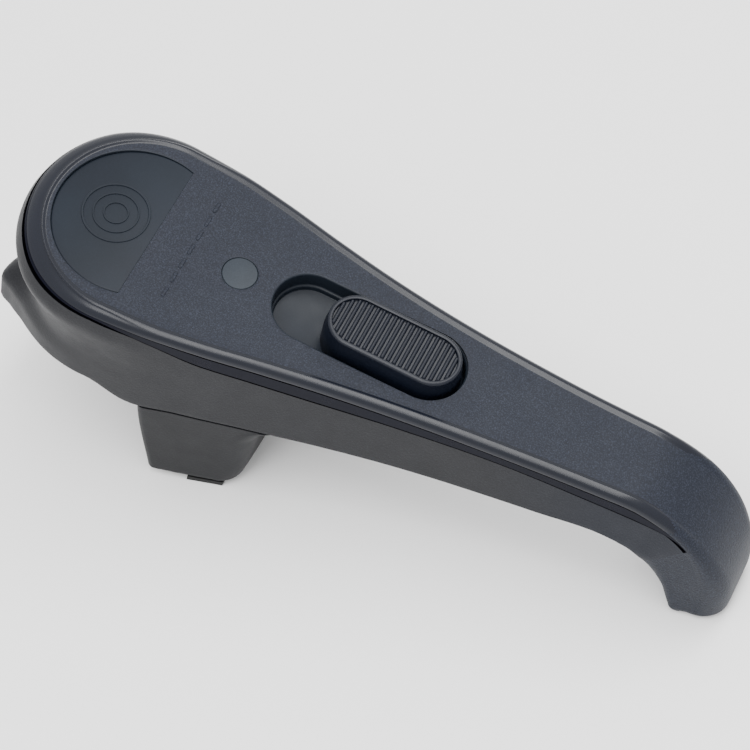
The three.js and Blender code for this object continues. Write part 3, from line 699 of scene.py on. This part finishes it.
def metal(name, colour, roughness, brushed=(1, 1, 12)):
    """Bare metal with fine lines that lie across the axis that brushed squeezes."""
    material, principled = shader(name, colour, roughness, metallic=1.0)
    links = material.node_tree.links
    lines = noise(material, BRUSH_SCALE, 4, brushed)
    links.new(spread(material, lines, roughness - 0.08, roughness + 0.12), principled.inputs["Roughness"])
    dark = tuple(c * 0.8 for c in colour)
    stains = noise(material, STAIN_SCALE, 3)
    links.new(ramp(material, stains, ((0.3, dark), (0.7, colour))), principled.inputs["Base Color"])
    bump(material, principled, [(lines, 0.15, 0.02)])
    return material


def rubber(name, colour, roughness):
    return plastic(name, colour, roughness, grain=0.35, tone=0.25, specular=0.3)


DECK_COLOUR = (0.0072, 0.0090, 0.0148)
DECK = plastic("deck_grain", DECK_COLOUR, 0.52, grain=1.0, tone=0.04, specular=0.18, speckle=0.8)
BEAD = plastic("bead_polish", (0.0042, 0.0055, 0.0105), 0.26, tone=0.06, specular=0.27, speckle=0.1)
BAND = plastic("band_gloss", (0.0035, 0.0040, 0.0085), 0.28, tone=0.08, specular=0.03, speckle=0.1)
# near-black matt: painted shade in the undercut under the band's lip and in the crease between bead and
# band
LIP_SHADE = plastic("lip_painted_shade", (0.0006, 0.0006, 0.001), 0.8, specular=0.0, speckle=0.0)
SKIRT = plastic("skirt_satin", (0.0095, 0.0099, 0.0120), 0.5, grain=0.5, tone=0.05, specular=0.16,
                speckle=0.3, towards=DECK_COLOUR)
BADGE_MATERIAL = plastic("badge_satin", (0.0065, 0.0095, 0.0150), 0.42, grain=0.05, specular=0.17,
                         speckle=0.1)
PLUG_MATERIAL = plastic("plug_satin", (0.015, 0.020, 0.027), 0.45, grain=0.1, specular=0.2, speckle=0.15)
POCKET = plastic("pocket_smooth", (0.0075, 0.0105, 0.016), 0.42, grain=0.08, specular=0.18, speckle=0.1)
PAD_MATERIAL = plastic("pad_satin", (0.0035, 0.005, 0.010), 0.36, grain=0.05, specular=0.25, speckle=0.1)
CORE = plastic("core_matt", (0.006, 0.0062, 0.0075), 0.5, grain=0.15, specular=0.12, speckle=0.15)
COVER = plastic("cover_satin", (0.0090, 0.0094, 0.0110), 0.48, grain=0.3, specular=0.12, speckle=0.25)
# near-black rubber for the lid washer; on the rest pads under the foot the same near-black also stands in
# for painted shade at the foot's bottom edge
RUBBER_AND_SHADE = rubber("pad_rubber", (0.004, 0.004, 0.0045), 0.7)
STEEL = metal("screw_steel", (0.55, 0.55, 0.56), 0.3)
SHEET = metal("sheet_steel", (0.5, 0.5, 0.51), 0.34, (12, 1, 1))
BRASS = metal("insert_brass", (0.62, 0.45, 0.2), 0.32)


# ---------------------------------------------------------------- shell
def slot_cutter():
    """The thumb slide's pocket: softened rim, upright wall, rounded ledge, flat floor."""
    ledge, floor = SLOT["ledge"], SLOT["floor"]
    profile = (
        (0.5, 3), (0.5, 0.02), (0.24, -0.1), (0.07, -0.28), (0, -0.6), (0, -floor + 2.2),
        (-0.06, -floor + 1.9), (-0.25, -floor + 1.68), (-0.5, -floor + 1.6), (-0.66, -floor + 1.45),
        (-0.76, -floor + 1.2), (-ledge, -floor + 0.9), (-ledge, -floor + 0.25),
        (-ledge - 0.1, -floor + 0.06), (-ledge - 0.3, -floor),
    )
    loops = [at_height(obround(SLOT["start"], SLOT["end"], SLOT["half"], out), z) for out, z in profile]
    return loft("slot_cutter", loops)


def chord_outline(radius, chord, steps=120):
    """A circle about the deck frame's origin, cut off by a chord at x = chord: the points run from
    the chord's left end by the front to its right end."""
    half = math.acos(chord / radius)
    points = []
    for i in range(steps + 1):
        angle = lerp(half, 2 * math.pi - half, i / steps)
        points.append((radius * math.cos(angle), radius * math.sin(angle)))
    return points


def badge_cutter():
    """The badge's pocket, with a softened rim."""
    loops = []
    for out, z in ((0.25, 2), (0.25, 0.01), (0.08, -0.08), (0, -0.25), (0, -BADGE["depth"])):
        loops.append(at_height(chord_outline(BADGE["radius"] + out, BADGE["chord"]), z))
    return loft("badge_cutter", loops)


PLUG_SIDES = 80


def plug_cutter():
    """The round plug's pocket, with a softened rim."""
    loops = []
    for out, z in ((0.2, 2), (0.2, 0.01), (0.06, -0.06), (0, -0.2), (0, -PLUG["depth"])):
        loops.append(at_height(circle(PLUG["x"], 0, PLUG["radius"] + out, PLUG_SIDES), z))
    return loft("plug_cutter", loops)


RISING_ROWS = 3
WAIST_DEPTH = 24
BELOW_SHELL = 60


def cavity():
    """The hollow inside the shell, open at the bottom from the head to the hook. A row says its
    height, how far in it lies from the deck's edge line at the sides and how far out at the head's
    front; the first RISING_ROWS follow the deck's rise."""
    inset = WALL - EDGE_OUT + BAND_STEP
    waist = HEAD_WAIST - WALL
    rows = (
        (-DECK_THICK, inset + 1.3, -0.4), (-DECK_THICK - 0.35, inset + 0.5, 0.4),
        (-DECK_THICK - 6, inset, HEAD_BULGE - WALL), (-WAIST_DEPTH, inset, waist),
        (-BELOW_SHELL, inset, waist),
    )
    loops = []
    for number, (z, side, front) in enumerate(rows):
        half = []
        for i in range(HEAD_STEPS + 1):
            angle = i / HEAD_STEPS * math.pi / 2
            radius = HEAD_RADIUS + lerp(front, -side, smooth(i / HEAD_STEPS, 0.4, 1))
            half.append(Vector((HEAD_X - radius * math.cos(angle), radius * math.sin(angle), z)))
        for i in range(1, SIDE_STEPS + 1):
            x = lerp(HEAD_X, DECK_END, i / SIDE_STEPS)
            top = z + (deck_z(x) if number < RISING_ROWS else 0)
            half.append(Vector((x, deck_half(x) - side, top)))
        half[0].y = 0
        half.append(Vector((DECK_END, 0, half[-1].z)))
        loops.append(mirrored_loop(half))
    return loft("cavity", loops, cap_steps=4)


def handle_shell():
    """The outer form, hollowed out, with a tub round the slide's slot and pockets cut in the deck."""
    rows = levels()
    loops = [mirrored_loop(half_loop(level), shared_end=False) for level in rows]
    shell = loft("shell", loops, cap_steps=28,
                 region=lambda row, station: region_of(rows[row], station))
    hull_again = shell.copy()
    hull_again.data = shell.data.copy()
    tub_outline = obround(SLOT["start"], SLOT["end"], SLOT["half"], SLOT["wall"])
    tub_low = -SLOT["floor"] - SLOT["wall"]
    tub = loft("tub", [at_height(tub_outline, -1), at_height(tub_outline, tub_low)])
    combine(shell, [cavity()], "DIFFERENCE", SKIRT_REGION)
    combine(shell, [combine(tub, [hull_again], "INTERSECT", SKIRT_REGION)], "UNION", SKIRT_REGION)
    combine(shell, [slot_cutter(), badge_cutter(), plug_cutter(), shank_way()], "DIFFERENCE", POCKET_REGION)
    shade(shell, smooth_angle=32)
    materials = (DECK, BEAD, BAND, LIP_SHADE, SKIRT, POCKET)
    place(shell, "handle", "shell_plastic", materials, "handle_shell")


SHANK_START = PAD["end"] - SHANK["behind"] - SHANK["length"]
SHANK_PLAY = 0.5


def shank_way():
    """The opening in the slot's floor that the shank runs in."""
    low, high = -SLOT["floor"] - SLOT["wall"] - 1, -SLOT["floor"] + 1
    start, end = SHANK_START - TRAVEL - SHANK_PLAY, SHANK_START + (SHANK["length"] + SHANK_PLAY)
    return block("shank_way", start, end, SHANK["half"] + GAP, low, high)


# ---------------------------------------------------------------- badge and plug
def badge_face(x):
    """Height of the badge's face, sunk at the head's front and nearly flush at the chord."""
    share = (x + BADGE["radius"]) / (BADGE["radius"] + BADGE["chord"])
    return lerp(-BADGE["sunk"], -BADGE["flush"], share)


def badge_inlay():
    """The badge, with a rounded edge and a gap in its pocket that is narrower at the chord."""
    loops = []
    for play, drop in ((0.35, 0), (0.15, 0.04), (0, 0.16), (0, BADGE["depth"])):
        radius = BADGE["radius"] - BADGE["play"] - play
        outline = chord_outline(radius, BADGE["chord"] - 0.02 - play / 6)
        low = -BADGE["depth"] + 0.1
        loops.append([Vector((x, y, max(badge_face(x) - drop, low))) for x, y in outline])
    inlay = loft("badge", loops)
    place(inlay, "handle", "badge_plastic", (BADGE_MATERIAL,), "badge_inlay")


EMBLEM_X = -6
EMBLEM_RINGS = ((9.4, 0.42), (6.4, 0.3), (3.4, 0.3))
EMBLEM_HEIGHT = 0.28
RING_SHOULDER = 0.6
SUNK_IN = 0.1


def on_badge(x, y, height):
    """A point at a height over the badge's face."""
    return Vector((x, y, badge_face(x) + height))


def raised_ring(bm, radius, half_width, steps=96):
    """A ring that stands on the badge, its foot a little way in the badge."""
    shoulder = half_width * RING_SHOULDER
    section = (
        (-half_width, -SUNK_IN), (-shoulder, EMBLEM_HEIGHT),
        (shoulder, EMBLEM_HEIGHT), (half_width, -SUNK_IN),
    )
    rows = []
    for out, lift in section:
        ring = circle(EMBLEM_X, 0, radius + out, steps)
        rows.append([bm.verts.new(on_badge(x, y, lift)) for x, y in ring])
    skin(bm, rows + rows[:1])


def badge_emblem():
    """A plain dial of three rings stands on the badge."""
    bm = bmesh.new()
    for radius, half_width in EMBLEM_RINGS:
        raised_ring(bm, radius, half_width)
    emblem = mesh_object("badge_dial", bm, smooth_angle=30)
    place(emblem, "handle", "badge_plastic", (BADGE_MATERIAL,))


DASH_PROFILE = ((0, -SUNK_IN), (-0.02, 0.12), (-0.12, 0.22), (-0.3, 0.26))


def deck_marks():
    """A row of low raised dashes across the deck."""
    bm = bmesh.new()
    reach, half = DASHES["length"] / 2, DASHES["half"]
    for i in range(DASHES["count"]):
        middle_y = (i - (DASHES["count"] - 1) / 2) * DASHES["pitch"]
        rows = []
        for out, height in DASH_PROFILE:
            outline = obround(-reach, reach, half, out, arc_steps=10, side_step=1)
            rows.append([bm.verts.new((DASHES["x"] + v, middle_y + u, height)) for u, v in outline])
        skin(bm, rows)
        bm.faces.new(rows[0])
        bm.faces.new(rows[-1])
    marks = mesh_object("deck_marks", bm, smooth_angle=50)
    place(marks, "handle", "shell_plastic", (DECK,))


def round_plug():
    """The plug, nearly flush with the deck, with a rounded edge."""
    rows = ((0.3, -0.04), (0.12, -0.07), (0, -0.2), (0, -PLUG["depth"] + 0.1))
    loops = []
    for play, z in rows:
        radius = PLUG["radius"] - PLUG["play"] - play
        loops.append(at_height(circle(PLUG["x"], 0, radius, PLUG_SIDES), z))
    place(loft("plug", loops), "handle", "plug_plastic", (PLUG_MATERIAL,), "round_plug")


# ---------------------------------------------------------------- thumb slide
RIB_SECTION = (
    (-1, 0), (-0.82, 0.5), (-0.55, 0.86), (-0.2, 1), (0.2, 1), (0.55, 0.86), (0.82, 0.5), (1, 0),
)
RIB_HALF = 0.36
RIB_MARGIN = 0.25
RIB_SLOPE = 0.5
RIB_END_RISE = 0.35


def ribs():
    """Rounded bars across the sunk field of the pad, each as long as the field is wide there."""
    bm = bmesh.new()
    border, count = PAD["border"], PAD["ribs"]
    start, end = PAD["start"] + border, PAD["end"] - border
    field = PAD["half"] - border
    pitch = (end - start - 2 * RIB_MARGIN) / count
    low = PAD["top"] - PAD["depth"] - 0.1
    for i in range(count):
        x = start + RIB_MARGIN + pitch * (i + 0.5)
        past = max(start + field - x, x - (end - field), 0)
        reach = math.sqrt(field ** 2 - past ** 2) + 0.1
        inner = reach - RIB_SLOPE
        rows = []
        for y, share in ((-reach, RIB_END_RISE), (-inner, 1), (inner, 1), (reach, RIB_END_RISE)):
            rows.append([bm.verts.new((x + a * pitch * RIB_HALF, y, low + b * share * PAD["depth"]))
                         for a, b in RIB_SECTION])
        skin(bm, rows)
        bm.faces.new(rows[0])
        bm.faces.new(rows[-1])
    return mesh_object("pad_ribs", bm, smooth_angle=30)


BORDER_STEPS = 8
BORDER_ROUND = 0.75
PAD_LEAN = 0.62


def thumb_slide():
    """The thumb pad: a wall that leans in, a rounded border and ribs in its sunk field, on a shank."""
    top, half, border = PAD["top"], PAD["half"], PAD["border"]
    low = -SLOT["floor"] + GAP
    rows = [(0.0, low), (0.0, -0.5), (-0.12, 0.9), (-0.36, 2.2), (-0.55, 3.2), (-PAD_LEAN, top - 0.9)]
    for i in range(1, BORDER_STEPS + 1):
        angle = i / BORDER_STEPS * math.pi / 2
        rows.append((-PAD_LEAN - BORDER_ROUND * (1 - math.cos(angle)),
                     top - BORDER_ROUND + BORDER_ROUND * math.sin(angle)))
    rows += [(-border + 0.2, top), (-border + 0.08, top - 0.06), (-border, top - 0.25),
             (-border, top - PAD["depth"] + 0.1), (-border - 0.1, top - PAD["depth"])]
    loops = [at_height(obround(PAD["start"], PAD["end"], half, out), z) for out, z in rows]
    slide = loft("slide_pad", loops, smooth_angle=40)
    shank = block("shank", SHANK_START, SHANK_START + SHANK["length"], SHANK["half"],
                  low - SHANK["depth"], low + 1)
    combine(slide, [shank, ribs()], "UNION")
    shade(slide, smooth_angle=40)
    place(slide, "slide", "slide_plastic", (PAD_MATERIAL,), "thumb_slide")


# ---------------------------------------------------------------- foot
FOOT_FRONT = ((0, 19), (0.1, 19.3), (1, 24.9))
FOOT_REAR = ((0, 61), (0.05, 58.4), (0.13, 56), (0.27, 54), (0.55, 53), (0.85, 52.4), (1, 51.4))
FOOT = {
    "wall": 3, "lift": 2.2, "front_corner": 2.4, "rear_corner": 6.5, "least_corner": 0.6,
    "sole_round": 1.3, "crown": 0.5, "seam": 0.12,
}
CORE_TOP = {"start": 23, "end": 54, "half": 18.4, "low": -46, "high": -18.6}
SCREWS = {"x": 29, "y": 13.6, "radius": 1.55, "head_radius": 2.6, "head_depth": 12}
STUDS = {"x": 42.75, "y": 21.5, "radius": 1.95, "depth": 5}
BELOW_FOOT = 110
FOOT_ROWS = 30
SOLE_ROWS = 5
SOLE_FROM = 0.97


def foot_loop(share, inset, drawn_in=0.0):
    """One loop of the foot: share runs 0-1 from the shell's lower edge down to the sole."""
    sides, corner, faces = 30, 10, 8
    front = through(FOOT_FRONT, share) + inset + drawn_in
    rear = through(FOOT_REAR, share) - inset - drawn_in

    def half_width(x):
        return deck_half(x) + EDGE_OUT - BAND_STEP + FLARE - inset - drawn_in

    radius = max(FOOT["least_corner"], FOOT["front_corner"] - inset)
    face = half_width(front + radius) - radius
    plan = [(front - FOOT["crown"] * (1 - (i / faces) ** 2), face * i / faces) for i in range(faces)]
    for i in range(corner + 1):
        angle = i / corner * math.pi / 2
        x = front + radius * (1 - math.cos(angle))
        plan.append((x, half_width(front + radius) - radius * (1 - math.sin(angle))))
    radius = max(FOOT["least_corner"], FOOT["rear_corner"] - inset)
    start = plan[-1][0]
    for i in range(1, sides + 1):
        x = lerp(start, rear - radius, i / sides)
        plan.append((x, half_width(x)))
    for i in range(1, corner + 1):
        angle = i / corner * math.pi / 2
        x = rear - radius + radius * math.sin(angle)
        plan.append((x, half_width(rear - radius) - radius * (1 - math.cos(angle))))
    face = plan[-1][1]
    for i in range(1, faces + 1):
        plan.append((rear + FOOT["crown"] * (1 - (1 - i / faces) ** 2), face * (1 - i / faces)))
    half = []
    for x, y in plan:
        top, low = lower_edge(x) - FOOT["seam"], stand_z(x) + FOOT["lift"]
        half.append(Vector((x, y, lerp(top, low, share))))
    return mirrored_loop(half)


def foot_body(name, inset, start=0.0, end=1.0, rounded=True):
    """The foot's form, drawn in by inset, between two shares of its height, with a rounded sole."""
    sole = SOLE_FROM if rounded else end
    loops = [foot_loop(lerp(start, sole, i / FOOT_ROWS), inset) for i in range(FOOT_ROWS + 1)]
    if rounded:
        for i in range(1, SOLE_ROWS + 1):
            angle = i / SOLE_ROWS * math.pi / 2
            loops.append(foot_loop(lerp(sole, end, math.sin(angle)), inset,
                                   FOOT["sole_round"] * (1 - math.cos(angle))))
    return loft(name, loops, cap_steps=10)


def foot():
    """The apron round the foot and the core inside it, with its bolt, screw and stud ways."""
    apron = foot_body("apron", 0)
    combine(apron, [foot_body("apron_hollow", FOOT["wall"], -0.2, 1.2, rounded=False)], "DIFFERENCE")
    shade(apron)
    place(apron, "handle", "cover_plastic", (COVER,), "foot_apron")
    core = foot_body("core", FOOT["wall"] + GAP)
    combine(core, [block("core_upper", **CORE_TOP)], "UNION")
    ways = [block("bolt_way", **BOLT_WAY, low=-BELOW_FOOT, high=0)]
    head_top = CORE_TOP["high"] - SCREWS["head_depth"]
    stud_top = stand_z(STUDS["x"]) + FOOT["lift"] + STUDS["depth"]
    for y in (-SCREWS["y"], SCREWS["y"]):
        ways.append(bar("screw_way", SCREWS["x"], y, SCREWS["radius"], -BELOW_FOOT, 0))
        ways.append(bar("head_way", SCREWS["x"], y, SCREWS["head_radius"], -BELOW_FOOT, head_top))
    for y in (-STUDS["y"], STUDS["y"]):
        ways.append(bar("stud_way", STUDS["x"], y, STUDS["radius"], -BELOW_FOOT, stud_top))
    combine(core, ways, "DIFFERENCE")
    shade(core)
    place(core, "handle", "core_plastic", (CORE,), "foot_core")


# ---------------------------------------------------------------- carried-over CAD nodes
# materials of the nodes that stay, steel where none is named, and rounds for the edges that show
CARRIED = {
    # the rest pads are real rubber feet, and their near-black is also painted shade where the foot's bottom
    # edge meets the floor
    "grip_cover": COVER, "rest_pad_1": RUBBER_AND_SHADE, "rest_pad_2": RUBBER_AND_SHADE, "lid_washer": RUBBER_AND_SHADE,
    "slide_carriage": PAD_MATERIAL, "lock_bolt": SHEET, "guide_plate": SHEET,
    "threaded_insert": BRASS,
}
SOFTENED = {"rest_pad_1": 0.4, "rest_pad_2": 0.4, "grip_cover": 0.3}
SOFT_STEPS = 3
SOFT_ANGLE = math.radians(40)


def dress_cad():
    """Materials and soft edges for the CAD nodes that no finished piece replaces."""
    for name, node in frame["nodes"].items():
        if node.hide_render:
            continue
        material = CARRIED.get(name, STEEL)
        node.data.materials.clear()
        node.data.materials.append(material)
        shade(node, smooth_angle=32)
        if name in SOFTENED:
            bevel = node.modifiers.new("soft_edges", "BEVEL")
            bevel.width = SOFTENED[name] * MM
            bevel.segments = SOFT_STEPS
            bevel.limit_method = "ANGLE"
            bevel.angle_limit = SOFT_ANGLE


# ---------------------------------------------------------------- stage, camera and light
# the camera in the deck frame: angles in degrees, distance, lens and sensor in mm
SENSOR = 36
CAMERA = {"azimuth": 11.798, "elevation": 60.579, "roll": 16.005, "distance": 810.0, "lens": 141.82}
CAMERA_TARGET = Vector((79.71, -9.93, 0))
NEAREST = 0.01
FLOOR_SIZE = 6
FLOOR_DROP = 0.0002
FLOOR_COLOUR = (0.95, 0.95, 0.95)
SKY_STRENGTH = 1.6
OVERHEAD = {"spot": (0.12, -0.02, 0.95), "aim": (0, 0, 0.05), "size": (1.5, 0.3), "power": 15}


def camera():
    """The camera of the photo, looking at CAMERA_TARGET on the deck."""
    azimuth, elevation, roll = (math.radians(CAMERA[k]) for k in ("azimuth", "elevation", "roll"))
    back = Vector((math.sin(azimuth) * math.cos(elevation), -math.cos(azimuth) * math.cos(elevation),
                   math.sin(elevation)))
    right = Vector((math.cos(azimuth), math.sin(azimuth), 0))
    up = back.cross(right)
    across = math.cos(roll) * right + math.sin(roll) * up
    along = -math.sin(roll) * right + math.cos(roll) * up
    turn = TURN.to_3x3()
    data = bpy.data.cameras.new("camera")
    data.lens = CAMERA["lens"]
    data.sensor_width = SENSOR
    data.clip_start = NEAREST
    obj = bpy.data.objects.new("camera", data)
    bpy.context.scene.collection.objects.link(obj)
    axes = Matrix((turn @ across, turn @ along, turn @ back)).transposed().to_4x4()
    spot = DECK_TO_ROW @ (CAMERA_TARGET + back * CAMERA["distance"])
    obj.matrix_world = Matrix.Translation(spot) @ axes
    bpy.context.scene.camera = obj


def area_light(name, spot, aim, size, power):
    data = bpy.data.lights.new(name, "AREA")
    data.shape = "RECTANGLE"
    data.size, data.size_y = size
    data.energy = power
    obj = bpy.data.objects.new(name, data)
    bpy.context.scene.collection.objects.link(obj)
    obj.location = spot
    obj.rotation_euler = (Vector(aim) - Vector(spot)).to_track_quat("-Z", "Y").to_euler()


def stage():
    """A white floor, an even white sky and one long light over the handle."""
    bpy.ops.mesh.primitive_plane_add(size=FLOOR_SIZE, location=(0, 0, -FLOOR_DROP))
    floor = bpy.context.object
    floor.name = "floor"
    floor.data.materials.append(shader("floor_white", FLOOR_COLOUR, 0.8)[0])
    world = bpy.data.worlds.new("studio")
    world.use_nodes = True
    background = world.node_tree.nodes["Background"]
    background.inputs["Color"].default_value = (1, 1, 1, 1)
    background.inputs["Strength"].default_value = SKY_STRENGTH
    bpy.context.scene.world = world
    area_light("overhead", **OVERHEAD)


handle_shell()
badge_inlay()
badge_emblem()
deck_marks()
round_plug()
thumb_slide()
foot()
dress_cad()
camera()
stage()
